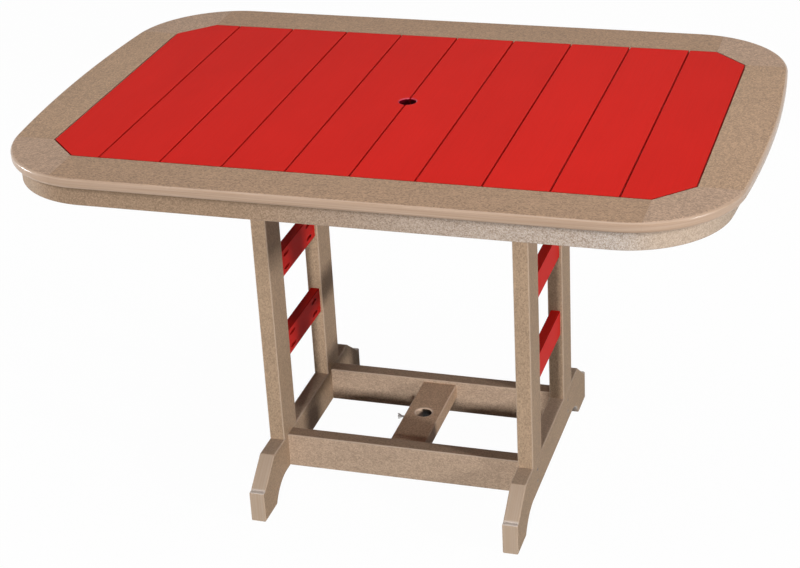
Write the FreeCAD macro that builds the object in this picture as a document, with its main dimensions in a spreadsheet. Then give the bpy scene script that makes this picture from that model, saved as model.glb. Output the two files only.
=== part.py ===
import FreeCAD, Part
import math
import os
import re
import Sketcher

# Outdoor counter height table: slatted top in a routed rim, apron, and a sled base with an umbrella board.
# Millimetres, +Z up, +X along the length, origin on the floor under the middle of the top.

Vector = FreeCAD.Vector
UP = Vector(0, 0, 1)
DOWN = Vector(0, 0, -1)
LEFT = Vector(-1, 0, 0)

# Tolerance for picking edges by their place
TOUCHING = 0.001

# Driving dimensions
DRIVING = {
    # Slat panel
    "table_height": 914.4,
    "slat_count": 10,
    "slat_pitch": 138.4,
    "slat_gap": 3,
    "slat_length": 828,
    "slat_edge": 1.0,
    "panel_clip": 76.5,
    "board_thickness": 22.2,
    # Rim
    "rim_side_width": 116.4,
    "rim_end_width": 110.3,
    "corner_radius": 232,
    "end_bow_radius": 3350,
    "rim_edge": 6.35,
    "rim_joint": 0.2,
    # Apron
    "apron_side_inset": 7,
    "apron_end_inset": 24,
    "apron_corner_inset": 22,
    "apron_height": 39,
    "apron_edge": 1.5,
    "apron_joint": 0.2,
    # Base timber
    "timber_thickness": 36,
    "timber_width": 84,
    "timber_edge": 3,
    "batten_edge": 2,
    "batten_clearance": 2,
    # Base layout
    "leg_spacing_long": 595.2,
    "leg_spacing_deep": 318,
    "floor_gap": 45,
    "runner_length": 708,
    "toe_slope": 84,
    "toe_height": 74.5,
    "toe_shelf": 11,
    "toe_length": 76,
    "heel_lean": 26,
    "heel_radius": 85,
    "toe_edge": 4,
    "rung_height": 63.5,
    "rung_low_level": 302,
    "rung_high_level": 505,
    "rung_edge": 2,
    # Umbrella pole
    "umbrella_hole": 38.1,
    "top_lip": 2.2,
    "board_lip": 3.2,
    "umbrella_board_drop": 7.5,
    # Wing screw
    "screw_radius": 2.5,
    "screw_setback": 1,
    "screw_standoff": 13,
    "screw_point": 0.8,
    "collar_radius": 3.3,
    "collar_thickness": 1.2,
    "collar_gap": 0.1,
    "hub_radius": 4,
    "hub_length": 7,
    "hub_running_gap": 0.04,
    "wing_radius": 3.2,
    "wing_offset": 4.6,
    "wing_flare": 3,
    "wing_thickness": 2.2,
    "wing_clearance": 0.5,
    "insert_radius": 3.75,
    "insert_length": 12,
    "insert_running_gap": 0.05,
    "shank_clearance": 0.3,
    # Board screws
    "board_screw_radius": 2.1,
    "board_head_radius": 4,
    "board_head_height": 2.6,
    "leg_screw_radius": 3.2,
    "leg_head_radius": 6,
    "leg_head_height": 4,
    "screw_tip": 5,
    "screw_tip_radius": 0.3,
    "drive_size": 2.4,
    "drive_depth": 1.8,
    "screw_clearance": 0.1,
    "head_clearance": 0.6,
    "slat_screw_cover": 10.4,
    "slat_screw_sink": 4,
    "slat_screw_spacing": 70,
    "rim_screw_count": 7,
    "rim_screw_margin": 40,
    "apron_screw_cover": 12.2,
    "apron_screw_sink": 16,
    "apron_screw_count": 5,
    "apron_end_screw_count": 3,
    "apron_corner_screw_count": 3,
    "rail_screw_cover": 6.2,
    "rail_screw_sink": 14,
    "rail_screw_spacing": 50,
    "leg_screw_length": 80,
    "leg_top_sink": 6,
    "leg_foot_sink": 40,
    "leg_screw_spacing": 44,
    "stretcher_screw_length": 75,
    "stretcher_screw_sink": 3,
    "stretcher_screw_spacing": 30,
    # Pocket screws
    "pocket_screw_length": 38,
    "pocket_angle": 15,
    "pocket_seat": 19,
    "rung_screw_spacing": 33,
    "umbrella_screw_spacing": 44,
}

# Sizes that follow from the driving ones
FOLLOWING = {
    "slat_width": "slat_pitch - slat_gap",
    "panel_half_long": "slat_pitch * slat_count / 2 + slat_gap / 2",
    "panel_half_deep": "slat_length / 2 + slat_gap",
    "top_half_long": "panel_half_long + rim_end_width",
    "top_half_deep": "panel_half_deep + rim_side_width",
    "clip_long": "panel_half_long - panel_clip",
    "clip_deep": "panel_half_deep - panel_clip",
    "rim_level": "table_height - board_thickness",
    "batten_level": "rim_level - board_thickness",
    "rail_level": "batten_level - timber_thickness",
    "apron_half_long": "top_half_long - apron_end_inset",
    "apron_half_deep": "top_half_deep - apron_side_inset",
    "apron_radius": "corner_radius - apron_corner_inset",
    "apron_bow": "end_bow_radius - apron_end_inset",
    "bend_deep": "apron_half_deep - apron_radius",
    "bend_long": "apron_half_long - apron_bow + sqrt((apron_bow - apron_radius) ^ 2 - bend_deep ^ 2)",
    "apron_level": "rim_level - apron_height",
    "apron_inner_deep": "apron_half_deep - timber_thickness",
    "batten_outer": "min(panel_half_deep + timber_width / 2; apron_inner_deep - batten_clearance)",
    "batten_deep": "batten_outer - timber_width / 2",
    "apron_inner_radius": "apron_radius - timber_thickness",
    "batten_past_bend": "max(0; batten_outer + batten_clearance - bend_deep)",
    "batten_limit": "bend_long + sqrt(apron_inner_radius ^ 2 - batten_past_bend ^ 2) - batten_clearance",
    "side_batten_half": "min(clip_long; batten_limit)",
    "middle_batten_half": "apron_half_long - timber_thickness - batten_clearance",
    "leg_long": "leg_spacing_long / 2",
    "leg_deep": "leg_spacing_deep / 2",
    "runner_level": "floor_gap + timber_width",
    "leg_length": "rail_level - runner_level",
    "inner_long": "leg_long - timber_thickness / 2",
    "rung_half": "leg_deep - timber_width / 2",
    "inner_deep": "leg_deep - timber_thickness / 2",
    "umbrella_level": "runner_level - umbrella_board_drop",
    "bore_radius": "umbrella_hole / 2",
    "wing_level": "umbrella_level - timber_thickness / 2",
    "collar_face": "timber_width / 2 + screw_standoff",
    "hub_face": "collar_face + collar_thickness + collar_gap",
    "rivet_face": "hub_face + hub_length + collar_gap",
    "shank_length": "rivet_face + collar_thickness - bore_radius - screw_setback",
    "pocket_depth": "board_thickness / 2",
    "slat_screw_length": "board_thickness * 2 - slat_screw_sink - slat_screw_cover",
    "apron_screw_length": "apron_height - apron_screw_sink + board_thickness - apron_screw_cover",
    "rail_screw_length": "timber_thickness - rail_screw_sink + board_thickness - rail_screw_cover",
}

doc = FreeCAD.newDocument("counter_table")
sheet = doc.addObject("Spreadsheet::Sheet", "dims")
pieces = []


def linked(text):
    """The expression with every size written as a cell of the sheet."""
    return re.sub(r"[a-z]+_[a-z_]+", lambda word: "dims." + word.group(), text)


def fill_sheet():
    """Write the driving sizes as numbers and the following ones as formulas, each with its alias."""
    rows = [(alias, str(size)) for alias, size in DRIVING.items()]
    rows += [(alias, "=" + formula) for alias, formula in FOLLOWING.items()]
    for row, (alias, content) in enumerate(rows, start=1):
        sheet.set(f"A{row}", alias)
        sheet.set(f"B{row}", content)
        sheet.setAlias(f"B{row}", alias)
    doc.recompute()


def size(text):
    """The number that an expression of sizes gives."""
    return float(sheet.evalExpression(linked(text)))


def count(alias):
    return int(round(size(alias)))


def bind(item, **expressions):
    for name, text in expressions.items():
        item.setExpression(name, linked(text))


def place(item, x="0", y="0", z="0"):
    for axis, text in zip("xyz", (x, y, z)):
        item.setExpression("Placement.Base." + axis, linked(text))


def finish(item, label):
    """Name a finished piece and put it on the list to write."""
    item.Label = label
    pieces.append(item)
    return item


# Sketches

def new_sketch(body, role):
    sketch = body.newObject("Sketcher::SketchObject", body.Name + "_sketch")
    plane = next(item for item in body.Origin.OriginFeatures if item.Role == role)
    sketch.AttachmentSupport = [(plane, "")]
    sketch.MapMode = "FlatFace"
    return sketch


def constrain(sketch, name, text, *what):
    """A named dimension of the sketch that follows an expression of sizes."""
    index = sketch.addConstraint(Sketcher.Constraint(*what, size(text)))
    sketch.renameConstraint(index, name)
    sketch.setExpression("Constraints." + name, linked(text))


def polygon(sketch, corners):
    """Closed outline of straight lines, each corner fixed by two expressions."""
    points = [Vector(size(x), size(y), 0) for x, y in corners]
    last = len(points) - 1
    for index, point in enumerate(points):
        sketch.addGeometry(Part.LineSegment(point, points[0 if index == last else index + 1]))
    for index in range(len(points)):
        follower = 0 if index == last else index + 1
        sketch.addConstraint(Sketcher.Constraint("Coincident", index, 2, follower, 1))
    for index, (x, y) in enumerate(corners):
        constrain(sketch, f"across_{index}", x, "DistanceX", -1, 1, index, 1)
        constrain(sketch, f"up_{index}", y, "DistanceY", -1, 1, index, 1)


def arc(center, radius, start, end):
    circle = Part.Circle(center, UP, radius)
    return Part.ArcOfCircle(circle, start, end)


def join_round(sketch, items):
    """Make a closed chain of lines and arcs tangent at every joint."""
    for item, follower in zip(items, items[1:] + items[:1]):
        sketch.addConstraint(Sketcher.Constraint("Tangent", item, 2, follower, 1))


def rounded_rectangle(sketch, width, depth, radius):
    """Rectangle with round corners, centred on the sketch's origin."""
    r = size(radius)
    a = size(width) / 2 - r
    b = size(depth) / 2 - r
    quarter = math.pi / 2
    centers = [Vector(a, -b, 0), Vector(a, b, 0), Vector(-a, b, 0), Vector(-a, -b, 0)]
    sides = [
        (Vector(-a, -b - r, 0), Vector(a, -b - r, 0)),
        (Vector(a + r, -b, 0), Vector(a + r, b, 0)),
        (Vector(a, b + r, 0), Vector(-a, b + r, 0)),
        (Vector(-a - r, b, 0), Vector(-a - r, -b, 0)),
    ]
    chain = []
    for index, (side, center) in enumerate(zip(sides, centers)):
        start = (index - 1) * quarter
        chain.append(sketch.addGeometry(Part.LineSegment(*side)))
        chain.append(sketch.addGeometry(arc(center, r, start, start + quarter)))
    join_round(sketch, chain)
    bottom, right, top, left = chain[0::2]
    arcs = chain[1::2]
    for line in (bottom, top):
        sketch.addConstraint(Sketcher.Constraint("Horizontal", line))
    for line in (right, left):
        sketch.addConstraint(Sketcher.Constraint("Vertical", line))
    for other in arcs[1:]:
        sketch.addConstraint(Sketcher.Constraint("Equal", arcs[0], other))
    sketch.addConstraint(Sketcher.Constraint("Symmetric", arcs[0], 3, arcs[2], 3, -1, 1))
    constrain(sketch, "width", width, "DistanceX", left, 1, right, 1)
    constrain(sketch, "depth", depth, "DistanceY", bottom, 1, top, 1)
    constrain(sketch, "radius", radius, "Radius", arcs[0])


def bowed_outline(sketch, half_long, half_width, corner_size, bow_size):
    """A line round the table: straight sides, round corners and gently bowed ends."""
    half_deep = size(half_width)
    radius = size(corner_size)
    bow = size(bow_size)
    bow_center = size(half_long) - bow
    rise = half_deep - radius
    corner_center = bow_center + math.sqrt((bow - radius) ** 2 - rise ** 2)
    lean = math.atan2(rise, corner_center - bow_center)
    half_turn = math.pi
    quarter = math.pi / 2
    shapes = [
        Part.LineSegment(Vector(-corner_center, -half_deep, 0), Vector(corner_center, -half_deep, 0)),
        arc(Vector(corner_center, -rise, 0), radius, -quarter, -lean),
        arc(Vector(bow_center, 0, 0), bow, -lean, lean),
        arc(Vector(corner_center, rise, 0), radius, lean, quarter),
        Part.LineSegment(Vector(corner_center, half_deep, 0), Vector(-corner_center, half_deep, 0)),
        arc(Vector(-corner_center, rise, 0), radius, quarter, half_turn - lean),
        arc(Vector(-bow_center, 0, 0), bow, half_turn - lean, half_turn + lean),
        arc(Vector(-corner_center, -rise, 0), radius, half_turn + lean, half_turn + quarter),
    ]
    chain = [sketch.addGeometry(shape) for shape in shapes]
    front, corner, right_end, second, back, third, left_end, fourth = chain
    join_round(sketch, chain)
    for line in (front, back):
        sketch.addConstraint(Sketcher.Constraint("Horizontal", line))
    for other in (second, third, fourth):
        sketch.addConstraint(Sketcher.Constraint("Equal", corner, other))
    sketch.addConstraint(Sketcher.Constraint("Equal", right_end, left_end))
    constrain(sketch, "corner", corner_size, "Radius", corner)
    constrain(sketch, "bow", bow_size, "Radius", right_end)
    constrain(sketch, "right_center", f"({half_long}) - ({bow_size})", "DistanceX", -1, 1, right_end, 3)
    constrain(sketch, "left_center", f"({bow_size}) - ({half_long})", "DistanceX", -1, 1, left_end, 3)
    constrain(sketch, "right_level", "0", "DistanceY", -1, 1, right_end, 3)
    constrain(sketch, "left_level", "0", "DistanceY", -1, 1, left_end, 3)
    constrain(sketch, "front_line", f"-({half_width})", "DistanceY", -1, 1, front, 1)
    constrain(sketch, "back_line", half_width, "DistanceY", -1, 1, back, 1)


def octagon(sketch, half_long, half_deep, clip):
    """Rectangle with clipped corners."""
    near = f"({half_long}) - ({clip})"
    side = f"({half_deep}) - ({clip})"
    polygon(sketch, [
        (f"-({near})", f"-({half_deep})"), (near, f"-({half_deep})"),
        (half_long, f"-({side})"), (half_long, side),
        (near, half_deep), (f"-({near})", half_deep),
        (f"-({half_long})", side), (f"-({half_long})", f"-({side})"),
    ])


# Solids

def new_body(name):
    return doc.addObject("PartDesign::Body", name)


def pad(body, sketch, length):
    feature = body.newObject("PartDesign::Pad", body.Name + "_pad")
    feature.Profile = sketch
    bind(feature, Length=length)
    return feature


def cut_through(body, sketch):
    """Pocket right through the body, up from the plane that its pad starts on."""
    doc.recompute()
    before = body.Shape.Volume
    feature = body.newObject("PartDesign::Pocket", body.Name + "_opening")
    feature.Profile = sketch
    feature.Type = "ThroughAll"
    feature.Reversed = True
    doc.recompute()
    if feature.Shape.Volume >= before:
        raise ValueError(body.Name + " has no opening")


def round_edges(body, feature, radius, wanted):
    """Fillet those edges of the feature that the test picks."""
    doc.recompute()
    names = [f"Edge{index}" for index, edge in enumerate(feature.Shape.Edges, start=1) if wanted(edge)]
    fillet = body.newObject("PartDesign::Fillet", feature.Name + "_round")
    fillet.Base = (feature, names)
    bind(fillet, Radius=radius)
    return fillet


def board(name, role, across, upright, length, edge, x="0", y="0", z="0"):
    """Straight board with rounded long edges, drawn on the plane across its length."""
    body = new_body(name + "_board")
    sketch = new_sketch(body, role)
    rounded_rectangle(sketch, across, upright, edge)
    pad(body, sketch, length)
    place(body, x, y, z)
    return body


def region(name, x, y):
    """Upright box over a range along and across the table, to take one piece from a blank."""
    box = doc.addObject("Part::Box", name + "_region")
    bind(box, Length=f"({x[1]}) - ({x[0]})", Width=f"({y[1]}) - ({y[0]})", Height="table_height * 2")
    place(box, x[0], y[0])
    return box


def cut(name, base, tool):
    item = doc.addObject("Part::Cut", name)
    item.Base = base
    item.Tool = tool
    return item


def common(name, base, tool):
    item = doc.addObject("Part::Common", name)
    item.Base = base
    item.Tool = tool
    return item


def drilled(item, label, cutters):
    """Cut each set of holes from a piece, then finish it."""
    for index, cutter in enumerate(cutters, start=1):
        item = cut(f"{label}_cut_{index}", item, cutter)
    return finish(item, label)


def cylinder(name, radius, length, x="0", y="0", z="0", along=UP):
    item = doc.addObject("Part::Cylinder", name)
    bind(item, Radius=radius, Height=length)
    item.Placement = FreeCAD.Placement(Vector(), FreeCAD.Rotation(UP, along))
    place(item, x, y, z)
    return item


def fused(name, items):
    item = doc.addObject("Part::MultiFuse", name)
    item.Shapes = items
    return item


# Screws and their holes

def screw(name, family, length):
    """Flat headed screw with a square drive: head below its seat at the origin, shank along +Z."""
    radius = family + "_screw_radius"
    head_height = family + "_head_height"
    head = cylinder(name + "_head", family + "_head_radius", head_height, z="-" + head_height)
    shank = cylinder(name + "_shank", radius, length + " - screw_tip")
    tip = doc.addObject("Part::Cone", name + "_tip")
    bind(tip, Radius1=radius, Radius2="screw_tip_radius", Height="screw_tip")
    place(tip, z=length + " - screw_tip")
    drive = doc.addObject("Part::Box", name + "_drive")
    bind(drive, Length="drive_size", Width="drive_size", Height="drive_depth")
    place(drive, "-drive_size / 2", "-drive_size / 2", "-" + head_height)
    return cut(name, fused(name + "_solid", [head, shank, tip]), drive)


def aimed(seat, direction):
    return FreeCAD.Placement(seat, FreeCAD.Rotation(UP, direction))


def screw_group(label, family, kind, places, sink):
    """One node of identical screws, and the holes that they need in the boards."""
    doc.recompute()
    gap = size("screw_clearance")
    hole = Part.makeCylinder(size(family + "_screw_radius") + gap, kind.Shape.BoundBox.ZMax + gap)
    head_room = size(family + "_head_radius + head_clearance")
    cutter = hole.fuse(Part.makeCylinder(head_room, sink * 2, Vector(), DOWN))
    group = doc.addObject("Part::Feature", label)
    holes = doc.addObject("Part::Feature", label + "_holes")
    group.Shape = Part.makeCompound([kind.Shape.transformed(spot.toMatrix()) for spot in places])
    holes.Shape = Part.makeCompound([cutter.transformed(spot.toMatrix()) for spot in places])
    finish(group, label)
    return holes


def spread(half, number):
    """Evenly spaced places from minus half to plus half."""
    return [half * (2 * index / (number - 1) - 1) for index in range(number)]


def slat_centers():
    number = count("slat_count")
    return [(index - (number - 1) / 2) * size("slat_pitch") for index in range(number)]


def slat_screw_places():
    level = size("batten_level + slat_screw_sink")
    reach = size("side_batten_half - board_head_radius * 2")
    inset = size("batten_deep - timber_width / 4")
    places = []
    for center in slat_centers():
        for step in (-0.5, 0.5):
            x = center + step * size("slat_screw_spacing")
            rows = [0, -inset, inset] if abs(x) < reach else [0]
            places += [aimed(Vector(x, y, level), UP) for y in rows]
    return places


def rim_screw_places():
    level = size("batten_level + slat_screw_sink")
    line = size("batten_deep + timber_width / 4")
    end = size("(panel_half_long + middle_batten_half) / 2")
    side = size("slat_width / 4")
    row = spread(size("side_batten_half - rim_screw_margin"), count("rim_screw_count"))
    points = [(x, y) for x in row for y in (-line, line)]
    points += [(x, y) for x in (-end, end) for y in (-side, side)]
    return [aimed(Vector(x, y, level), UP) for x, y in points]


def apron_screw_places():
    level = size("apron_level + apron_screw_sink")
    margin = size("rim_screw_margin")
    deep = size("apron_half_deep - timber_thickness / 2")
    bow = size("apron_bow - timber_thickness / 2")
    bow_center = size("apron_half_long - apron_bow")
    radius = size("apron_radius - timber_thickness / 2")
    row = spread(size("bend_long") - margin, count("apron_screw_count"))
    end_row = spread(size("bend_deep") - margin, count("apron_end_screw_count"))
    points = [(x, y) for x in row for y in (-deep, deep)]
    points += [(side * (bow_center + math.sqrt(bow ** 2 - y ** 2)), y) for side in (-1, 1) for y in end_row]
    bends = count("apron_corner_screw_count")
    for index in range(bends):
        angle = math.pi / 2 * (index + 0.5) / bends
        x = size("bend_long") + radius * math.cos(angle)
        y = size("bend_deep") + radius * math.sin(angle)
        points += [(side * x, end * y) for side in (-1, 1) for end in (-1, 1)]
    return [aimed(Vector(x, y, level), UP) for x, y in points]


def rail_screw_places():
    level = size("rail_level + rail_screw_sink")
    half = size("rail_screw_spacing / 2")
    rows = (-size("batten_deep"), size("slat_width / 4"), size("batten_deep"))
    places = []
    for side in (-1, 1):
        for step in (-half, half):
            places += [aimed(Vector(side * size("leg_long") + step, y, level), UP) for y in rows]
    return places


def leg_screw_places(level, direction):
    half = size("leg_screw_spacing / 2")
    return [
        aimed(Vector(side * size("leg_long"), end * size("leg_deep") + step, level), direction)
        for side in (-1, 1) for end in (-1, 1) for step in (-half, half)
    ]


def pocket(leaving, along, face):
    """Place of a pocket screw that leaves a board's end at a point, slanting away from the open face."""
    angle = math.radians(size("pocket_angle"))
    direction = along * math.cos(angle) - face * math.sin(angle)
    return aimed(leaving - direction * (size("pocket_seat") / math.cos(angle)), direction)


def rung_screw_places():
    half = size("rung_screw_spacing / 2")
    middles = [size(level + " + rung_height / 2") for level in ("rung_low_level", "rung_high_level")]
    levels = [middle + step for middle in middles for step in (-half, half)]
    long = size("leg_long")
    deep = size("rung_half")
    return [
        pocket(Vector(side * long, end * deep, level), Vector(0, end, 0), Vector(-side, 0, 0))
        for side in (-1, 1) for end in (-1, 1) for level in levels
    ]


def stretcher_screw_places():
    half = size("stretcher_screw_spacing / 2")
    level = size("floor_gap + timber_width / 2")
    long = size("leg_long + timber_thickness / 2 - stretcher_screw_sink")
    deep = size("leg_deep")
    return [
        aimed(Vector(side * long, end * deep, level + step), Vector(-side, 0, 0))
        for side in (-1, 1) for end in (-1, 1) for step in (-half, half)
    ]


def umbrella_screw_places():
    half = size("umbrella_screw_spacing / 2")
    level = size("umbrella_level - timber_thickness + pocket_depth")
    return [
        pocket(Vector(step, end * size("inner_deep"), level), Vector(0, end, 0), DOWN)
        for end in (-1, 1) for step in (-half, half)
    ]


def make_screws():
    """Every group of screws, giving back the holes by group."""
    slat_kind = screw("slat_screw", "board", "slat_screw_length")
    apron_kind = screw("apron_screw", "board", "apron_screw_length")
    rail_kind = screw("rail_screw", "board", "rail_screw_length")
    leg_kind = screw("leg_screw", "leg", "leg_screw_length")
    stretcher_kind = screw("stretcher_screw", "board", "stretcher_screw_length")
    pocket_kind = screw("pocket_screw", "board", "pocket_screw_length")
    slat_sink = size("slat_screw_sink")
    top_sink = size("leg_top_sink")
    foot_sink = size("leg_foot_sink")
    stretcher_sink = size("stretcher_screw_sink")
    pocket_sink = size("pocket_depth + board_head_radius") / math.sin(math.radians(size("pocket_angle")))
    top_places = leg_screw_places(size("batten_level") - top_sink, DOWN)
    foot_places = leg_screw_places(size("floor_gap") + foot_sink, UP)
    groups = [
        ("slat_screws", "board", slat_kind, slat_screw_places(), slat_sink),
        ("rim_screws", "board", slat_kind, rim_screw_places(), slat_sink),
        ("apron_screws", "board", apron_kind, apron_screw_places(), size("apron_screw_sink")),
        ("rail_screws", "board", rail_kind, rail_screw_places(), size("rail_screw_sink")),
        ("leg_top_screws", "leg", leg_kind, top_places, top_sink),
        ("leg_foot_screws", "leg", leg_kind, foot_places, foot_sink),
        ("rung_screws", "board", pocket_kind, rung_screw_places(), pocket_sink),
        ("stretcher_screws", "board", stretcher_kind, stretcher_screw_places(), stretcher_sink),
        ("umbrella_board_screws", "board", pocket_kind, umbrella_screw_places(), pocket_sink),
    ]
    return {group[0]: screw_group(*group) for group in groups}


# Table top

def lip(name, level, roll, toward):
    """Cutter that rolls the mouth of an umbrella hole over at a board's face."""
    reach = f"bore_radius + {roll}"
    inner = f"{level} - {roll}" if toward == UP else f"{level} + {roll}"
    mouth = cylinder(name + "_mouth", reach, f"{roll} * 2", z=inner, along=toward)
    roller = doc.addObject("Part::Torus", name + "_roll")
    bind(roller, Radius1=reach, Radius2=roll)
    place(roller, z=inner)
    return cut(name, mouth, roller)


def make_top_bore():
    """Umbrella hole through the slats and the middle batten, rolled over at the top."""
    length = "table_height - batten_level + top_lip"
    wall = cylinder("top_wall", "bore_radius", length, z="batten_level - top_lip")
    return fused("top_bore", [wall, lip("top_mouth", "table_height", "top_lip", UP)])


def make_lower_bore():
    """Umbrella hole through the lower board, rolled over at both faces."""
    bottom = "(umbrella_level - timber_thickness)"
    wall = cylinder("lower_wall", "bore_radius", "timber_thickness", z=bottom)
    upper = lip("upper_mouth", "umbrella_level", "board_lip", UP)
    under = lip("under_mouth", bottom, "board_lip", DOWN)
    return fused("lower_bore", [wall, upper, under])


def make_slats(holes, bore):
    """Slats across the table: the end ones follow the clips, the middle ones share the umbrella hole."""
    panel = new_body("panel_outline")
    sketch = new_sketch(panel, "XY_Plane")
    octagon(sketch, "panel_half_long - slat_gap", "slat_length / 2", "panel_clip - slat_gap * (2 - sqrt(2))")
    pad(panel, sketch, "table_height * 2")
    number = count("slat_count")
    for index in range(number):
        label = f"slat_{index + 1:02d}"
        center = f"({index} - (slat_count - 1) / 2) * slat_pitch"
        middle = "table_height - board_thickness / 2"
        item = board(
            label, "XZ_Plane", "slat_width", "board_thickness", "slat_length", "slat_edge",
            center, "slat_length / 2", middle)
        if index in (0, number - 1):
            item = common(label + "_clipped", item, panel)
        near = abs(size(center)) < size("slat_width / 2 + bore_radius + top_lip")
        drilled(item, label, [holes["slat_screws"], bore] if near else [holes["slat_screws"]])


def make_rim(holes):
    """The routed rim, taken apart into its boards and corner blocks."""
    body = new_body("rim_blank")
    sketch = new_sketch(body, "XY_Plane")
    bowed_outline(sketch, "top_half_long", "top_half_deep", "corner_radius", "end_bow_radius")
    plate = pad(body, sketch, "board_thickness")
    round_edges(body, plate, "rim_edge", lambda edge: edge.BoundBox.ZLength < TOUCHING)
    opening = new_sketch(body, "XY_Plane")
    octagon(opening, "panel_half_long", "panel_half_deep", "panel_clip")
    cut_through(body, opening)
    place(body, z="rim_level")
    cutters = [holes["rim_screws"], holes["apron_screws"]]
    split_ring(body, "rim", "clip_long", "clip_deep", "rim_joint / 2", cutters)


def make_apron(holes):
    """The apron ring under the rim, taken apart into straight boards and curved corner blocks."""
    body = new_body("apron_blank")
    sketch = new_sketch(body, "XY_Plane")
    bowed_outline(sketch, "apron_half_long", "apron_half_deep", "apron_radius", "apron_bow")
    ring = pad(body, sketch, "apron_height")
    round_edges(body, ring, "apron_edge", lambda edge: edge.BoundBox.ZMax < TOUCHING)
    opening = new_sketch(body, "XY_Plane")
    inside = "apron_half_long - timber_thickness"
    bowed_outline(opening, inside, "apron_inner_deep", "apron_inner_radius", "apron_bow - timber_thickness")
    cut_through(body, opening)
    place(body, z="apron_level")
    split_ring(body, "apron", "bend_long", "bend_deep", "apron_joint / 2", [holes["apron_screws"]])


def split_ring(blank, name, long, deep, gap, cutters):
    """Four sides and four corners of a ring round the table, parted by a small gap."""
    reach = "top_half_long * 2"
    along = (f"-{long} + {gap}", f"{long} - {gap}")
    across = (f"-{deep} + {gap}", f"{deep} - {gap}")
    ends = {
        "left": (f"-{reach}", f"-{long} - {gap}"),
        "right": (f"{long} + {gap}", reach),
        "front": (f"-{reach}", f"-{deep} - {gap}"),
        "back": (f"{deep} + {gap}", reach),
    }
    regions = {
        "front": (along, (f"-{reach}", "0")),
        "back": (along, ("0", reach)),
        "left": ((f"-{reach}", "0"), across),
        "right": (("0", reach), across),
    }
    for end in ("front", "back"):
        for side in ("left", "right"):
            regions[f"corner_{end}_{side}"] = (ends[side], ends[end])
    for spot, (x, y) in regions.items():
        label = f"{name}_{spot}"
        drilled(common(label + "_piece", blank, region(label, x, y)), label, cutters)


def make_battens(holes, bore):
    """Lengthwise boards under the slats that carry them and tie them to the rim."""
    middle = "rim_level - board_thickness / 2"
    cutters = [holes["slat_screws"], holes["rim_screws"], holes["rail_screws"]]
    for spot, sign in (("front", "-"), ("back", "")):
        item = board(
            "batten_" + spot, "YZ_Plane", "timber_width", "board_thickness",
            "side_batten_half * 2", "batten_edge", "-side_batten_half", sign + "batten_deep", middle)
        drilled(item, "batten_" + spot, cutters)
    item = board(
        "batten_middle", "YZ_Plane", "slat_width", "board_thickness", "middle_batten_half * 2", "batten_edge",
        "-middle_batten_half", "0", middle)
    drilled(item, "batten_middle", cutters + [bore])


# Base

def make_legs(holes):
    cutters = [holes["leg_top_screws"], holes["leg_foot_screws"], holes["rung_screws"]]
    for end, deep in (("front", "-leg_deep"), ("back", "leg_deep")):
        for side, long in (("left", "-leg_long"), ("right", "leg_long")):
            label = f"leg_{end}_{side}"
            item = board(
                label, "XY_Plane", "timber_thickness", "timber_width", "leg_length", "timber_edge",
                long, deep, "runner_level")
            drilled(item, label, cutters)


def make_rails(holes):
    for side, long in (("left", "-leg_long"), ("right", "leg_long")):
        item = board(
            "top_rail_" + side, "XZ_Plane", "timber_width", "timber_thickness",
            "batten_outer * 2", "timber_edge", long, "batten_outer", "rail_level + timber_thickness / 2")
        drilled(item, "top_rail_" + side, [holes["rail_screws"], holes["leg_top_screws"]])


def make_runners(holes):
    """Sled feet: a flat top under the legs, sloping shoulders, two shelved toes and an arched underside."""
    toe = "runner_length / 2"
    shelf = "runner_length / 2 - toe_shelf"
    shoulder = "runner_length / 2 - toe_slope"
    heel = "runner_length / 2 - toe_length"
    arch = "runner_length / 2 - toe_length - heel_lean"
    underside = [(arch, "floor_gap"), (heel, "0"), (toe, "0")]
    back = underside + [(toe, "toe_height"), (shelf, "toe_height"), (shoulder, "runner_level")]
    front = [(f"-({y})", z) for y, z in reversed(back)]
    for side, long in (("left", "-leg_long"), ("right", "leg_long")):
        label = "foot_runner_" + side
        body = new_body(label + "_blank")
        sketch = new_sketch(body, "YZ_Plane")
        polygon(sketch, back + front)
        plank = pad(body, sketch, "timber_thickness")
        place(body, f"{long} - timber_thickness / 2")
        heels = round_edges(body, plank, "heel_radius", lambda edge: is_corner(edge, arch, "floor_gap"))
        toes = round_edges(body, heels, "toe_edge", lambda edge: is_corner(edge, toe, "toe_height"))
        brows = round_edges(body, toes, "toe_edge", lambda edge: is_corner(edge, shoulder, "runner_level"))
        round_edges(body, brows, "timber_edge", lambda edge: edge.BoundBox.XLength < TOUCHING)
        drilled(body, label, [holes["leg_foot_screws"], holes["stretcher_screws"]])


def is_corner(edge, y, z):
    """An edge over a runner's thickness, at this place on its outline on either side."""
    box = edge.BoundBox
    across = box.XLength > TOUCHING
    beside = abs(abs(box.YMin) - size(y)) < TOUCHING and box.YLength < TOUCHING
    return across and beside and abs(box.ZMin - size(z)) < TOUCHING


def make_rungs(holes):
    for side, long in (("left", "-leg_long"), ("right", "leg_long")):
        for spot, level in (("lower", "rung_low_level"), ("upper", "rung_high_level")):
            label = f"rung_{side}_{spot}"
            item = board(
                label, "XZ_Plane", "board_thickness", "rung_height", "rung_half * 2", "rung_edge",
                long, "rung_half", level + " + rung_height / 2")
            drilled(item, label, [holes["rung_screws"]])


def make_stretchers(holes):
    for end, deep in (("front", "-leg_deep"), ("back", "leg_deep")):
        item = board(
            "stretcher_" + end, "YZ_Plane", "timber_thickness", "timber_width",
            "inner_long * 2", "timber_edge", "-inner_long", deep, "floor_gap + timber_width / 2")
        drilled(item, "stretcher_" + end, [holes["stretcher_screws"], holes["umbrella_board_screws"]])


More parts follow.
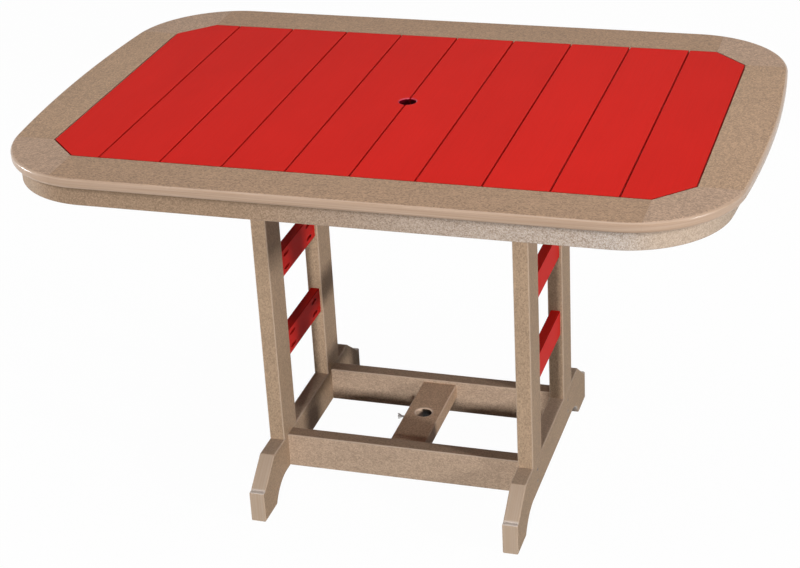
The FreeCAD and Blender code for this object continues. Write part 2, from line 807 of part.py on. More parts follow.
def make_umbrella_board(holes):
    """Board between the stretchers with the lower umbrella hole, and the wing screw's hole in its edge."""
    edge = {"x": "-timber_width / 2", "z": "wing_level", "along": Vector(1, 0, 0)}
    seat = cylinder("insert_hole", "insert_radius + insert_running_gap", "insert_length", **edge)
    passage = cylinder("shank_hole", "screw_radius + shank_clearance", "timber_width / 2", **edge)
    item = board(
        "umbrella_board", "XZ_Plane", "timber_width", "timber_thickness", "inner_deep * 2", "timber_edge",
        "0", "inner_deep", "umbrella_level - timber_thickness / 2")
    side_hole = fused("wing_screw_hole", [seat, passage])
    drilled(item, "umbrella_board", [holes["umbrella_board_screws"], make_lower_bore(), side_hole])


# Wing screw

def on_screw_axis(name, radius, length, start):
    """Cylinder on the wing screw's axis, running out of the board from a distance left of the middle."""
    return cylinder(name, radius, length, f"-({start})", "0", "wing_level", LEFT)


def make_insert():
    """Threaded sleeve set flush in the board's left edge."""
    inner_end = "timber_width / 2 - insert_length"
    sleeve = on_screw_axis("insert_outside", "insert_radius", "insert_length", inner_end)
    thread = on_screw_axis("insert_inside", "screw_radius + insert_running_gap", "insert_length", inner_end)
    finish(cut("insert", sleeve, thread), "screw_insert")


def make_wing_shank():
    """Shank that waits just short of the umbrella hole, with the collar and rivet that hold the wings."""
    tip = "bore_radius + screw_setback"
    point = doc.addObject("Part::Cone", "shank_point")
    bind(point, Radius1="screw_radius - screw_point", Radius2="screw_radius", Height="screw_point")
    point.Placement = FreeCAD.Placement(Vector(), FreeCAD.Rotation(UP, LEFT))
    place(point, f"-({tip})", "0", "wing_level")
    rod = on_screw_axis("shank_rod", "screw_radius", "shank_length - screw_point", tip + " + screw_point")
    collar = on_screw_axis("shank_collar", "collar_radius", "collar_thickness", "collar_face")
    rivet = on_screw_axis("shank_rivet", "collar_radius", "collar_thickness", "rivet_face")
    finish(fused("shank", [point, rod, collar, rivet]), "wing_screw_shank")


def make_wings():
    """Hub that turns on the shank, with two round wings that flare away from the board."""
    hub = on_screw_axis("hub", "hub_radius", "hub_length", "hub_face")
    flare = "-hub_face - hub_length / 2 - wing_flare"
    lobes = [
        cylinder(
            "wing_" + spot, "wing_radius", "wing_thickness", flare, "-wing_thickness / 2",
            f"wing_level {sign} wing_offset", Vector(0, 1, 0))
        for spot, sign in (("upper", "+"), ("lower", "-"))
    ]
    bore = on_screw_axis("hub_bore", "screw_radius + hub_running_gap", "hub_length", "hub_face")
    rivet_room = on_screw_axis(
        "rivet_room", "collar_radius + wing_clearance", "wing_radius * 2", "hub_face + hub_length")
    solid = fused("wings_solid", [hub] + lobes)
    room = fused("wings_room", [bore, rivet_room])
    finish(cut("wings", solid, room), "wing_screw_wings")


def write_parts():
    """Check every object, then write one file for each finished piece."""
    doc.recompute()
    for item in doc.Objects:
        if "Invalid" in item.State or "Error" in item.State:
            raise ValueError(f"{item.Name} did not compute")
    os.makedirs("parts", exist_ok=True)
    for item in pieces:
        shape = item.Shape
        if shape.isNull() or not shape.isValid() or not shape.Solids:
            raise ValueError(f"{item.Label} has no valid solid")
        shape.exportStep(f"parts/{item.Label}.step")


fill_sheet()
holes = make_screws()
top_bore = make_top_bore()
make_slats(holes, top_bore)
make_rim(holes)
make_apron(holes)
make_battens(holes, top_bore)
make_rails(holes)
make_legs(holes)
make_runners(holes)
make_rungs(holes)
make_stretchers(holes)
make_umbrella_board(holes)
make_insert()
make_wing_shank()
make_wings()
write_parts()
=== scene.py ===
import math

import bpy
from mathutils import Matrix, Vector


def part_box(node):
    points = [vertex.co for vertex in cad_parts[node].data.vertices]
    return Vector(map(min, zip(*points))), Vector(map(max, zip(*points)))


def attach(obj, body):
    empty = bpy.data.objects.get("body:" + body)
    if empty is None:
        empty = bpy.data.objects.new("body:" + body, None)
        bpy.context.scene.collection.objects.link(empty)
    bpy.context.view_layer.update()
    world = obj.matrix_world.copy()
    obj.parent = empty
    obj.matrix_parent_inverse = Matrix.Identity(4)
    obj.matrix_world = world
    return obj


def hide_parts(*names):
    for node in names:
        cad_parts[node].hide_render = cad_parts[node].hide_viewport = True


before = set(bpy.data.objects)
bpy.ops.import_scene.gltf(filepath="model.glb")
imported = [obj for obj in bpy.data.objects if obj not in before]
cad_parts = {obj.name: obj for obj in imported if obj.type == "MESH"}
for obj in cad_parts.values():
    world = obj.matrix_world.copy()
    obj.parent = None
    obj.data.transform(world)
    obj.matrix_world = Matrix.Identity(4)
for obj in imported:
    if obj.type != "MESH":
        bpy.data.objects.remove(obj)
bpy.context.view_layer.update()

# Outdoor counter height table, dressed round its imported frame
# Metres, +Z up, +X along the length, origin on the floor under the middle of the top

# Lumber colours, linear
RED = (0.59, 0.017, 0.012)
CRIMSON = (0.42, 0.010, 0.035)
TAN = (0.355, 0.250, 0.167)
RIM_TAN = (0.348, 0.228, 0.149)
EDGE_TAN = (0.368, 0.250, 0.170)
CORNER_TAN = (0.400, 0.275, 0.196)
END_TAN = (0.393, 0.262, 0.172)
# The stretchers' tan is the plain tan made paler, a painted sheen
SHEENED_STRETCHER_TAN = (0.395, 0.288, 0.208)
BOARD_TAN = (0.440, 0.300, 0.200)
APRON_TAN = (0.275, 0.184, 0.118)

# Colours of the painted shade on the stretchers' tops and of the painted sheen and painted light on the
# apron and runners, linear
PAINTED_SHADE_BROWN = (0.10, 0.055, 0.022)
PAINTED_SHEEN = (0.70, 0.68, 0.66)
WARM_PAINTED_LIGHT = (0.68, 0.59, 0.50)

# Turns that lay a pattern's grain, which runs along X, along each kind of board
ALONG_LENGTH = (0, 0, 0)
ALONG_DEPTH = (0, 0, math.radians(90))
UPRIGHT = (0, math.radians(90), 0)
RISING = (0, 0, math.radians(-45))
FALLING = (0, 0, math.radians(45))

# Tan finishes: colour, turn of the grain and form of the board
TAN_FINISHES = {
    "tan_lumber_length": (SHEENED_STRETCHER_TAN, ALONG_LENGTH, "stretcher"),
    "tan_lumber_board": (BOARD_TAN, ALONG_DEPTH, "straight"),
    "tan_lumber_depth": (TAN, ALONG_DEPTH, "straight"),
    "tan_lumber_runner": (TAN, ALONG_DEPTH, "runner"),
    "tan_lumber_upright": (TAN, UPRIGHT, "straight"),
    "tan_apron_length": (APRON_TAN, ALONG_LENGTH, "apron"),
    "tan_apron_depth": (APRON_TAN, ALONG_DEPTH, "curved"),
    "tan_apron_rising": (APRON_TAN, RISING, "curved"),
    "tan_apron_falling": (APRON_TAN, FALLING, "curved"),
    "tan_rim_length": (RIM_TAN, ALONG_LENGTH, "rim"),
    "tan_rim_depth": (END_TAN, ALONG_DEPTH, "rim"),
    "tan_rim_rising": (CORNER_TAN, RISING, "rim"),
    "tan_rim_falling": (CORNER_TAN, FALLING, "rim"),
}

# Metals: linear colour, roughness and cells in a metre of the lines left by turning
METALS = {
    "steel": ((0.2, 0.19, 0.18), 0.4, (900, 900, 900)),
    "brass": ((0.62, 0.44, 0.17), 0.34, (1200, 500, 500)),
    "bright_steel": ((0.62, 0.61, 0.59), 0.3, (700, 700, 700)),
}

# The first of these words that is in a node's name gives its finish
NODE_FINISHES = {
    "screw_insert": "brass",
    "screw": "steel",
    "slat": "red_lumber",
    "rung": "red_lumber",
    "apron_corner_front_right": "tan_apron_rising",
    "apron_corner_back_left": "tan_apron_rising",
    "apron_corner": "tan_apron_falling",
    "apron_front": "tan_apron_length",
    "apron_back": "tan_apron_length",
    "apron": "tan_apron_depth",
    "rim_corner_front_right": "tan_rim_rising",
    "rim_corner_back_left": "tan_rim_rising",
    "rim_corner": "tan_rim_falling",
    "rim_front": "tan_rim_length",
    "rim_back": "tan_rim_length",
    "rim": "tan_rim_depth",
    "leg": "tan_lumber_upright",
    "umbrella_board": "tan_lumber_board",
    "foot_runner": "tan_lumber_runner",
    "batten": "tan_lumber_length",
    "stretcher": "tan_lumber_length",
    "top_rail": "tan_lumber_depth",
}

# A slat with its seam, the level where the rim lies on the apron, and the level of the toes' shelves
SLAT_PITCH = 0.1384
APRON_LEVEL = 0.8922
SHELF_LEVEL = 0.0745

# Reach of the umbrella holes' routed mouths from the umbrella's axis, and the width of their edge
TOP_MOUTH = 0.0212
BOARD_MOUTH = 0.0230
MOUTH_EDGE = 0.0006

# Cells in a metre of each pattern, along the grain and both ways across it
FLECKS = (320, 380, 380)
RIM_FLECKS = (290, 340, 340)
DOTS = (420, 500, 500)
GRAIN = (7, 150, 150)
PATCHES = (5, 9, 9)
RED_DOTS = (260, 340, 340)
RED_GRAIN = (8, 220, 220)
CLOUDS = (400, 400, 400)

# Streaks left by the tool, in cells in a metre along X, Y and Z
LEVEL_STREAKS = (4, 4, 420)
UPRIGHT_STREAKS = (420, 4, 4)

# Darkest and lightest share of its colour that a pattern gives a surface
TAN_SPAN = (0.68, 1.32)
RED_SPAN = (0.8, 1.2)
METAL_SPAN = (0.75, 1.15)

# A direction's share along an axis is FLAT or more on a flat face, and less on a rounded edge
FLAT = 0.985
ROUNDED = 0.93
RIM_ROUNDED = 0.9

# The apron's painted sheen: where each rise along X starts and ends, and its strength
SHEEN_RISES = (
    (-0.28, 0.45, 0.25),
    (0.46, 0.57, 0.08),
    (-0.60, -0.69, 0.15),
)
LEAST_SHEEN = 0.02

# Painted shade on the stretchers' upward faces and painted light on the runners', and how strong each is
TOP_PAINTED_LIGHT_AND_SHADE = {"stretcher": (PAINTED_SHADE_BROWN, 0.35), "runner": (WARM_PAINTED_LIGHT, 0.15)}

# Coat on routed edges, and on the half of an umbrella hole that a pole has polished
CUT_GLOSS = {"rim": 0.5, "runner": 0.3}
PLAIN_CUT_GLOSS = 0.1
POLE_GLOSS = 0.5
RED_POLE_GLOSS = 0.55


# Shader maths

class Value:
    """A node's output. An expression on values adds its Math nodes."""

    def __init__(self, finish, socket):
        self.finish = finish
        self.socket = socket

    def reckon(self, operation, first, second=0):
        return self.finish.node("ShaderNodeMath", {"operation": operation}, {0: first, 1: second})

    def __add__(self, other):
        return self.reckon("ADD", self, other)

    def __sub__(self, other):
        return self.reckon("SUBTRACT", self, other)

    def __rsub__(self, other):
        return self.reckon("SUBTRACT", other, self)

    def __mul__(self, other):
        return self.reckon("MULTIPLY", self, other)

    def __abs__(self):
        return self.reckon("ABSOLUTE", self)

    def __floordiv__(self, other):
        return self.reckon("FLOOR", self.reckon("DIVIDE", self, other))

    def most(self, other):
        return self.reckon("MAXIMUM", self, other)

    __radd__ = __add__
    __rmul__ = __mul__


class Finish:
    """The nodes of a material or of the world, added one by one."""

    def __init__(self, tree):
        self.tree = tree

    def node(self, kind, settings, inputs, output=0):
        made = self.tree.nodes.new(kind)
        for key, value in settings.items():
            setattr(made, key, value)
        for key, value in inputs.items():
            self.feed(made.inputs[key], value)
        return Value(self, made.outputs[output])

    def feed(self, socket, value):
        if isinstance(value, Value):
            self.tree.links.new(value.socket, socket)
        else:
            socket.default_value = value

    def surface(self, inputs):
        """Feed the shader that is on a material from the start."""
        for key, value in inputs.items():
            self.feed(self.tree.nodes["Principled BSDF"].inputs[key], value)

    def end(self, kind, shader):
        """Add the output node and feed it a shader."""
        self.feed(self.tree.nodes.new(kind).inputs["Surface"], shader)

    def place(self, turn=ALONG_LENGTH):
        """Object coordinates, turned so that the pattern's X runs along the grain."""
        spot = self.node("ShaderNodeTexCoord", {}, {}, "Object")
        settings = {"vector_type": "TEXTURE"}
        return self.node("ShaderNodeMapping", settings, {"Vector": spot, "Rotation": turn})

    def parts(self, vector):
        first = self.node("ShaderNodeSeparateXYZ", {}, {0: vector})
        return [Value(self, socket) for socket in first.socket.node.outputs]

    def where(self):
        """The three parts of the place on the object."""
        return self.parts(self.node("ShaderNodeTexCoord", {}, {}, "Object"))

    def facing(self):
        """Sizes of the three parts of the surface's own direction."""
        normal = self.node("ShaderNodeTexCoord", {}, {}, "Normal")
        return [abs(part) for part in self.parts(normal)]

    def mouth(self, reach):
        """1 on the routed mouth of an umbrella hole, 1 on its wall, and 1 on its far half.

        The far half is the one that a pole polishes.
        """
        long, deep, _ = self.where()
        near = self.ramp(long * long + deep * deep, (reach + MOUTH_EDGE) ** 2, reach ** 2)
        wall = near * self.ramp(self.facing()[2], 0.3, 0.05)
        return near, wall, near * self.ramp(deep, -0.004, 0.004)

    def stretched(self, vector, factors):
        return self.node("ShaderNodeVectorMath", {"operation": "MULTIPLY"}, {0: vector, 1: factors})

    def noise(self, vector, factors, detail=2.0):
        inputs = {"Vector": self.stretched(vector, factors), "Scale": 1.0, "Detail": detail}
        return self.node("ShaderNodeTexNoise", {}, inputs)

    def flecks(self, vector, factors):
        """A random number for each small cell."""
        inputs = {"Vector": self.stretched(vector, factors), "Scale": 1.0}
        return self.parts(self.node("ShaderNodeTexVoronoi", {}, inputs, "Color"))[0]

    def ramp(self, value, low, high):
        """Rise smoothly from 0 at low to 1 at high."""
        settings = {"interpolation_type": "SMOOTHSTEP"}
        inputs = {"Value": value, "From Min": low, "From Max": high}
        return self.node("ShaderNodeMapRange", settings, inputs)

    def blend(self, factor, first, second):
        settings = {"data_type": "RGBA"}
        return self.node("ShaderNodeMix", settings, {0: factor, 6: first, 7: second}, 2)

    def tones(self, tone, colour, span):
        """A colour that goes from its darkest share at 0 to its lightest at 1."""
        darkest, lightest = span
        return self.blend(tone, shade(colour, darkest), shade(colour, lightest))

    def bump(self, height, strength, distance):
        inputs = {"Height": height, "Strength": strength, "Distance": distance}
        return self.node("ShaderNodeBump", {}, inputs)


def new_material(name):
    material = bpy.data.materials.new(name)
    material.use_nodes = True
    return material


def shade(colour, factor):
    """A colour made lighter or darker, with its alpha."""
    return tuple(part * factor for part in colour) + (1.0,)


def sheen(colour, amount):
    """A colour moved towards white, with its alpha."""
    return tuple(part + (1 - part) * amount for part in colour) + (1.0,)


def mottle(*shares):
    """Mix patterns round a middle tone of 0.5, each with its own share."""
    return sum((share * (pattern - 0.5) for share, pattern in shares), 0.5)


# Lumber

def routed_edges(finish, form):
    """1 where a tool has cut away the skin: rounded edges, the rim's whole side and the runners' ends."""
    along, across, upright = finish.facing()
    if form == "rim":
        return finish.ramp(upright, FLAT, RIM_ROUNDED)
    if form == "curved":
        return finish.ramp(upright.most(1 - upright * upright), FLAT, ROUNDED)
    if form == "runner":
        return finish.ramp(along.most(upright), FLAT, ROUNDED).most(toe_shelf(finish))
    return finish.ramp(along.most(across).most(upright), FLAT, ROUNDED)


def toe_shelf(finish):
    """1 on the flat shelves of the runners' toes."""
    low = finish.ramp(finish.where()[2], SHELF_LEVEL + 0.004, SHELF_LEVEL)
    return low * finish.ramp(finish.facing()[2], 0.5, 0.8)


def apron_painted_light(finish, skin, flecks, dots):
    """The apron's skin, with a painted sheen towards both ends and painted shade under the rim.

    The sheen is warmer and calmer round the bends.
    """
    long, _, level = finish.where()
    bend = finish.ramp(abs(long), 0.56, 0.66)
    # Painted sheen, rising along X towards both ends
    rises = (share * finish.ramp(long, start, end) for start, end, share in SHEEN_RISES)
    sheen_share = sum(rises, LEAST_SHEEN)
    sparkle = 0.7 * (flecks - 0.5) + 0.8 * (finish.ramp(dots, 0.35, 0.65) - 0.5)
    pale = finish.blend(bend, shade(PAINTED_SHEEN, 1), shade(WARM_PAINTED_LIGHT, 1))
    skin = finish.blend(sheen_share * (1 + sparkle * (1 - 0.5 * bend)), skin, pale)
    # Painted shade just under the rim's overhang
    under_rim_shade = finish.ramp(level, APRON_LEVEL - 0.011, APRON_LEVEL - 0.001)
    return finish.blend(0.4 * under_rim_shade, skin, shade(APRON_TAN, 0.2))


def routed_colour(finish, colour, form, wall):
    """Colour of routed lumber: streaked by the tool, with painted light on the toes' shelves.

    A hole's wall is darkened as painted shade, apart from its left side, where light falls.
    """
    streaks = UPRIGHT_STREAKS if form == "runner" else LEVEL_STREAKS
    streak = finish.ramp(finish.noise(finish.place(), streaks, 3.0), 0.3, 0.7)
    dull, pale = sheen(colour, 0.04), sheen(colour, 0.08)
    if form == "rim":
        dull, pale = shade(EDGE_TAN, 0.92), sheen(EDGE_TAN, 0.05)
    cut = finish.blend(streak, dull, pale)
    # Painted shade down a hole's wall, left out on its left side where light falls
    dark = wall * finish.ramp(finish.where()[0], -0.012, -0.006)
    cut = finish.blend(dark, cut, shade(colour, 0.06))
    # Painted light on the toes' shelves
    if form == "runner":
        cut = finish.blend(toe_shelf(finish), cut, sheen(colour, 0.3))
    return cut


def lumber(name, colour, turn, form):
    """Solid coloured plastic lumber: flecked skin, faint grain, and smoother paler routed edges."""
    material = new_material(name)
    finish = Finish(material.node_tree)
    spot = finish.place(turn)
    flecks = finish.flecks(spot, RIM_FLECKS if form == "rim" else FLECKS)
    dots = finish.noise(spot, DOTS, 1.0)
    grain = finish.noise(spot, GRAIN)
    patch = finish.noise(spot, PATCHES)
    strong = 0.85 if form == "rim" else 0.6
    tone = mottle((strong, flecks), (0.5, dots), (0.2, grain), (0.25, patch))
    skin = finish.tones(tone, colour, TAN_SPAN)
    if form in ("curved", "apron"):
        skin = apron_painted_light(finish, skin, flecks, dots)
    # Painted shade darkens the stretchers' tops and painted light brightens the runners' tops
    if form in TOP_PAINTED_LIGHT_AND_SHADE:
        painted_tone, share = TOP_PAINTED_LIGHT_AND_SHADE[form]
        upward = finish.ramp(finish.facing()[2], 0.7, 0.9)
        skin = finish.blend(share * upward, skin, shade(painted_tone, 1))
    mouth, wall, polished = finish.mouth(BOARD_MOUTH)
    routed = routed_edges(finish, form).most(mouth)
    height = (flecks + 0.5 * dots + 0.3 * grain) * (1 - 0.8 * routed)
    finish.surface({
        "Base Color": finish.blend(routed, skin, routed_colour(finish, colour, form, wall)),
        "Roughness": 0.54 + 0.2 * (flecks - 0.5) - 0.16 * routed,
        "Coat Weight": CUT_GLOSS.get(form, PLAIN_CUT_GLOSS) * routed + POLE_GLOSS * polished,
        "Coat Roughness": 0.25,
        "Specular IOR Level": 0.06 if form == "rim" else 0.03,
        "Normal": finish.bump(height, 0.4, 0.0004),
    })
    return material


def red_lumber(name):
    """Red lumber of the slats and rungs, each slat a little different, with a very fine mottle."""
    material = new_material(name)
    finish = Finish(material.node_tree)
    spot = finish.place(ALONG_DEPTH)
    fine = finish.noise(spot, RED_DOTS)
    grain = finish.noise(spot, RED_GRAIN, 3.0)
    patch = finish.noise(spot, PATCHES)
    number = finish.where()[0] // SLAT_PITCH
    board = finish.node("ShaderNodeTexWhiteNoise", {"noise_dimensions": "1D"}, {"W": number})
    tone = mottle((0.3, patch), (0.25, grain), (0.4, fine), (0.16, board))
    skin = finish.tones(tone, RED, RED_SPAN)
    # Painted shade: the slats' and rungs' rounded edges are darkened, so the seams between slats look
    # dark
    edge = finish.blend(routed_edges(finish, "straight"), skin, shade(RED, 0.45))
    mouth, wall, polished = finish.mouth(TOP_MOUTH)
    # Painted shade: the hole's wall is darkened below the crimson lip
    lip = finish.blend(wall, shade(CRIMSON, 1), shade(CRIMSON, 0.2))
    finish.surface({
        "Base Color": finish.blend(mouth, edge, lip),
        "Roughness": 0.5 + 0.14 * (fine - 0.5) - 0.2 * mouth,
        "Coat Weight": RED_POLE_GLOSS * polished,
        "Coat Roughness": 0.1,
        "Coat IOR": 1.7,
        "Specular IOR Level": 0.02,
        "Normal": finish.bump((fine + 0.6 * grain) * (1 - 0.8 * mouth), 0.3, 0.0004),
    })
    return material


# Metal

def metal(name, colour, roughness, lines):
    """Turned metal with fine lines and small marks."""
    material = new_material(name)
    finish = Finish(material.node_tree)
    spot = finish.place()
    marks = finish.noise(spot, lines)
    cloud = finish.noise(spot, CLOUDS)
    finish.surface({
        "Base Color": finish.tones(0.6 * marks + 0.4 * cloud, colour, METAL_SPAN),
        "Metallic": 1.0,
        "Roughness": roughness + 0.25 * (cloud - 0.5),
        "Normal": finish.bump(marks, 0.2, 0.0002),
    })
    return material


def make_finishes():
    """All the materials of the table, by name."""
    finishes = {"red_lumber": red_lumber("red_lumber")}
    for name, (colour, turn, form) in TAN_FINISHES.items():
        finishes[name] = lumber(name, colour, turn, form)
    for name, (colour, roughness, lines) in METALS.items():
        finishes[name] = metal(name, colour, roughness, lines)
    return finishes


def dress_frame(finishes):
    """Give every node of the frame its own finish."""
    for name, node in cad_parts.items():
        finish_name = next(NODE_FINISHES[word] for word in NODE_FINISHES if word in name)
        for slot in node.material_slots:
            slot.material = finishes[finish_name]


# Wing screw

PITCH = 0.0008
ROOT_RADIUS = 0.00205
CREST_RADIUS = 0.0025
CREST_WIDTH = 0.25
TURN_STEPS = 20
COLLAR = 0.0012
COLLAR_GAP = 0.0002
HUB_RADIUS = 0.004
HUB_LENGTH = 0.007
HUB_BORE = 0.0026
ROUND_SIDES = 24

# Rounding of the ends of the rod, the collar and the rivet, and how far the thread stops from the tip
ROD_ROUNDING = 0.0006
COLLAR_ROUNDING = 0.0003
RIVET_ROUNDING = 0.0005
THREAD_STOP = 0.0005

# Corners that are nearer than this are merged, and edges that bend more than this stay sharp
MERGE_DISTANCE = 0.000001
SHARP_ANGLE = math.radians(40)

# Faces of the hub that a wing grows from: how nearly they face up or down, and how far out they lie
WING_FACING = 0.98
WING_FOOT = HUB_BORE * 1.2

# Each step of a wing: rise, lean away from the board, and scale along the hub and across it
WING_STEPS = (
    (0.0009, 0.0013, 0.95, 0.92),
    (0.0012, 0.0011, 1.0, 0.96),
    (0.0012, 0.0006, 0.84, 0.9),
    (0.0005, 0, 0.5, 0.7),
)


def add(adder, name, **settings):
    """Add a primitive with nothing else selected, and move its place into its mesh."""
    bpy.ops.object.select_all(action="DESELECT")
    adder(**settings)
    piece = bpy.context.active_object
    piece.name = name
    bpy.ops.object.transform_apply(location=True, rotation=True, scale=True)
    return piece


def add_round(name, radius, near, far, level):
    """Add a round bar along X between two places."""
    return add(
        bpy.ops.mesh.primitive_cylinder_add, name, vertices=ROUND_SIDES, radius=radius,
        depth=far - near, location=((near + far) / 2, 0, level), rotation=(0, math.radians(90), 0))


def deselect(mesh):
    """Clear the selection of a mesh's corners, edges and faces, in object mode."""
    for parts in (mesh.vertices, mesh.edges, mesh.polygons):
        parts.foreach_set("select", [False] * len(parts))


def choose(piece, wanted):
    """Select the faces that wanted picks by their middle and normal, and go on in edit mode."""
    bpy.ops.object.mode_set(mode="OBJECT")
    deselect(piece.data)
    for face in piece.data.polygons:
        face.select = wanted(face.center, face.normal)
    bpy.context.tool_settings.mesh_select_mode = (False, False, True)
    bpy.ops.object.mode_set(mode="EDIT")


def choose_ends(piece):
    """Select the two ends of a bar along X."""
    choose(piece, lambda spot, normal: abs(normal.x) > 0.9)


def soften_ends(piece, offset):
    """Round the rims of a bar's two ends."""
    choose_ends(piece)
    bpy.ops.mesh.bevel(offset=offset, segments=3)
    bpy.ops.object.mode_set(mode="OBJECT")


def close_up(piece):
    """Merge doubles, turn every face outwards and smooth the piece."""
    bpy.ops.object.mode_set(mode="EDIT")
    bpy.ops.mesh.select_all(action="SELECT")
    bpy.ops.mesh.remove_doubles(threshold=MERGE_DISTANCE)
    bpy.ops.mesh.normals_make_consistent(inside=False)
    bpy.ops.object.mode_set(mode="OBJECT")
    bpy.ops.object.select_all(action="DESELECT")
    piece.select_set(True)
    bpy.context.view_layer.objects.active = piece
    bpy.ops.object.shade_smooth_by_angle(angle=SHARP_ANGLE)


def make_tooth(near):
    """Outline of one tooth of the thread, open at its root and narrow at its crest."""
    middle = (ROOT_RADIUS + CREST_RADIUS) / 2
    heart = (near + PITCH / 2, middle, 0)
    tooth = add(bpy.ops.mesh.primitive_plane_add, "thread", size=PITCH, location=heart)
    mesh = tooth.data
    bpy.ops.object.mode_set(mode="EDIT")
    height = (CREST_RADIUS - ROOT_RADIUS) / PITCH
    bpy.ops.transform.resize(value=(1, height, 1), center_override=heart)
    bpy.ops.object.mode_set(mode="OBJECT")
    deselect(mesh)
    for edge in mesh.edges:
        edge.select = all(mesh.vertices[index].co.y < middle for index in edge.vertices)
    bpy.ops.object.mode_set(mode="EDIT")
    bpy.ops.mesh.select_mode(type="EDGE")
    bpy.ops.mesh.delete(type="EDGE")
    bpy.ops.object.mode_set(mode="OBJECT")
    for vertex in mesh.vertices:
        vertex.select = vertex.co.y > middle
    bpy.ops.object.mode_set(mode="EDIT")
    bpy.ops.mesh.select_mode(type="VERT")
    bpy.ops.transform.resize(value=(CREST_WIDTH, 1, 1), center_override=heart)
    bpy.ops.object.mode_set(mode="OBJECT")
    return tooth


def cut_thread(near, far, level):
    """Screw one tooth of the thread round the shank."""
    tooth = make_tooth(near)
    turns = tooth.modifiers.new("turns", "SCREW")
    turns.axis = "X"
    turns.screw_offset = PITCH
    turns.iterations = int((far - near) / PITCH) - 1
    turns.steps = TURN_STEPS
    turns.render_steps = TURN_STEPS
    turns.use_merge_vertices = True
    turns.merge_threshold = MERGE_DISTANCE
    bpy.ops.object.modifier_apply(modifier="turns")
    bpy.ops.object.mode_set(mode="EDIT")
    bpy.ops.mesh.select_all(action="SELECT")
    bpy.ops.mesh.fill_holes(sides=0)
    bpy.ops.transform.translate(value=(0, 0, level))
    bpy.ops.object.mode_set(mode="OBJECT")
    return tooth


def make_shank(steel):
    """Threaded shank with the collar and rivet that hold the wings."""
    low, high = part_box("wing_screw_shank")
    level = (low.z + high.z) / 2
    radius = (high.z - low.z) / 2
    collar_end = low.x + COLLAR * 2 + HUB_LENGTH + COLLAR_GAP
    rod = add_round("shank", ROOT_RADIUS, low.x + COLLAR / 2, high.x, level)
    soften_ends(rod, ROD_ROUNDING)
    collar = add_round("collar", radius, collar_end - COLLAR, collar_end, level)
    soften_ends(collar, COLLAR_ROUNDING)
    rivet = add_round("rivet", radius, low.x, low.x + COLLAR, level)
    soften_ends(rivet, RIVET_ROUNDING)
    thread = cut_thread(collar_end - COLLAR / 2, high.x - THREAD_STOP, level)
    bpy.ops.object.select_all(action="DESELECT")
    for piece in (rod, collar, rivet, thread):
        piece.select_set(True)
    bpy.context.view_layer.objects.active = rod
    bpy.ops.object.join()
    rod.name = "wing_screw_threaded_shank"
    close_up(rod)
    rod.data.materials.append(steel)
    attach(rod, "wing_shank")
    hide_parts("wing_screw_shank")


def make_wings(steel):
    """Cast head of the wing screw: a bored hub and two lobes that lean away from the board."""
    low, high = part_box("wing_screw_wings")
    level = (low.z + high.z) / 2
    wings = add_round("wing_screw_cast_wings", HUB_RADIUS, high.x - HUB_LENGTH, high.x, level)
    choose_ends(wings)
    bpy.ops.mesh.inset(thickness=HUB_RADIUS - HUB_BORE, use_individual=True)
    bpy.ops.mesh.bridge_edge_loops()
    for side in (1, -1):
        choose(wings, lambda spot, normal: (
            normal.z * side > WING_FACING and (spot.z - level) * side > WING_FOOT))
        for rise, lean, length, across in WING_STEPS:
            bpy.ops.mesh.extrude_region_move(TRANSFORM_OT_translate={"value": (-lean, 0, side * rise)})
            bpy.ops.transform.resize(value=(length, across, 1))
    bpy.ops.object.mode_set(mode="OBJECT")
    smooth = wings.modifiers.new("smooth", "SUBSURF")
    smooth.levels = 2
    smooth.render_levels = 2
    bpy.ops.object.modifier_apply(modifier="smooth")
    close_up(wings)
    wings.data.materials.append(steel)
    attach(wings, "wings")
    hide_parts("wing_screw_wings")


# Room

# Each lamp: place, point it looks at, width, height and watts
LAMPS = {
    "overhead": ((0.0, -0.45, 3.6), (0.0, -0.2, 0.9), 3.4, 2.6, 66),
    "over right": ((2.6, -0.4, 3.2), (0.2, 0.0, 0.9), 2.0, 2.0, 16),
    "front": ((0.55, -8.0, 1.75), (0.0, 0.0, 0.45), 0.6, 0.7, 508),
    "right": ((7.6, -2.1, 2.75), (0.0, 0.0, 0.5), 0.6, 0.5, 405),
    "left": ((-7.0, -0.6, 0.46), (0.0, 0.0, 0.6), 1.4, 0.8, 350),
    "back": ((0.3, 7.6, 0.75), (0.0, 0.0, 0.6), 2.4, 1.1, 190),
}
# Low lamps across from a view would glare on the top, so these two aren't mirrored
UNMIRRORED = ("front", "back")
AMBIENT = 0.02

# The floor: its width, its own grey, and the strength and share of the white that it shows
FLOOR_WIDTH = 40
FLOOR_GREY = (0.30, 0.30, 0.30)
FLOOR_GLOW = 1.04
FLOOR_WHITE = 0.94

# Camera fitted to the table's straight edges: place, turns in degrees, lens and sensor in millimetres
CAMERA_PLACE = (1.21498, -3.79852, 2.47578)
CAMERA_TURNS = (63.2218, 2.8698, 16.8538)
CAMERA_LENS = 87.25
CAMERA_SENSOR = 36


def put_in_scene(name, data):
    """Put a lamp or a camera into the scene."""
    holder = bpy.data.objects.new(name, data)
    bpy.context.scene.collection.objects.link(holder)
    return holder


def hang_lamps():
    """Hang the lamps, each turned to the point it looks at."""
    for name, (place, aim, width, height, watts) in LAMPS.items():
        lamp = bpy.data.lights.new(name, "AREA")
        lamp.shape = "RECTANGLE"
        lamp.size = width
        lamp.size_y = height
        lamp.energy = watts
        holder = put_in_scene(name, lamp)
        holder.location = place
        holder.visible_glossy = name not in UNMIRRORED
        holder.rotation_euler = (Vector(aim) - Vector(place)).to_track_quat("-Z", "Y").to_euler()


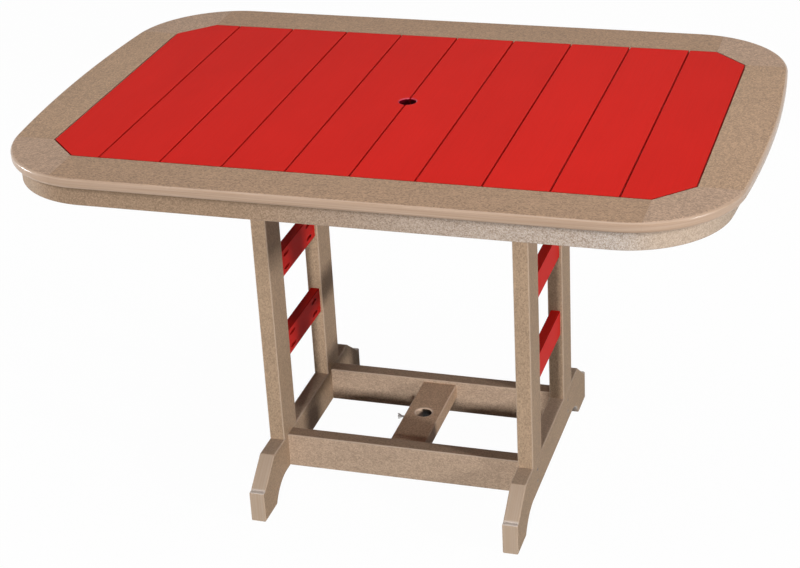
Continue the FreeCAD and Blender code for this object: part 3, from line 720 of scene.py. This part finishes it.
def seen_directly(finish):
    """1 for rays that show the background itself: straight to the camera, mirrored or through glass."""
    path = finish.node("ShaderNodeLightPath", {}, {}).socket.node
    camera = Value(finish, path.outputs["Is Camera Ray"])
    mirrored = Value(finish, path.outputs["Is Glossy Ray"])
    through = Value(finish, path.outputs["Is Transmission Ray"])
    return camera.most(mirrored).most(through)


def make_backdrop():
    """White behind the table, with a low even light from all round."""
    world = bpy.data.worlds.new("studio")
    bpy.context.scene.world = world
    world.use_nodes = True
    finish = Finish(world.node_tree)
    finish.tree.nodes.clear()
    colour = (1, 1, 1, 1)
    white = finish.node("ShaderNodeBackground", {}, {"Color": colour})
    dim = finish.node("ShaderNodeBackground", {}, {"Color": colour, "Strength": AMBIENT})
    shown = finish.node("ShaderNodeMixShader", {}, {0: seen_directly(finish), 1: dim, 2: white})
    finish.end("ShaderNodeOutputWorld", shown)


def make_floor():
    """Pale floor that shows white and keeps a soft shadow."""
    floor = add(bpy.ops.mesh.primitive_plane_add, "studio_floor", size=FLOOR_WIDTH)
    material = new_material("pale_floor")
    finish = Finish(material.node_tree)
    finish.tree.nodes.clear()
    pale = finish.node("ShaderNodeBsdfDiffuse", {}, {"Color": shade(FLOOR_GREY, 1)})
    glow = finish.node("ShaderNodeEmission", {}, {"Strength": FLOOR_GLOW})
    white = finish.node("ShaderNodeMixShader", {}, {0: FLOOR_WHITE, 1: pale, 2: glow})
    shown = finish.node("ShaderNodeMixShader", {}, {0: seen_directly(finish), 1: pale, 2: white})
    finish.end("ShaderNodeOutputMaterial", shown)
    floor.data.materials.append(material)


def place_camera():
    """Stand the camera at the photo's viewing angle."""
    lens = bpy.data.cameras.new("camera")
    lens.sensor_width = CAMERA_SENSOR
    lens.lens = CAMERA_LENS
    camera = put_in_scene("camera", lens)
    camera.location = CAMERA_PLACE
    camera.rotation_euler = [math.radians(angle) for angle in CAMERA_TURNS]
    bpy.context.scene.camera = camera


finishes = make_finishes()
dress_frame(finishes)
make_shank(finishes["bright_steel"])
make_wings(finishes["bright_steel"])
hang_lamps()
make_backdrop()
make_floor()
place_camera()
bpy.context.scene.view_settings.view_transform = "Standard"
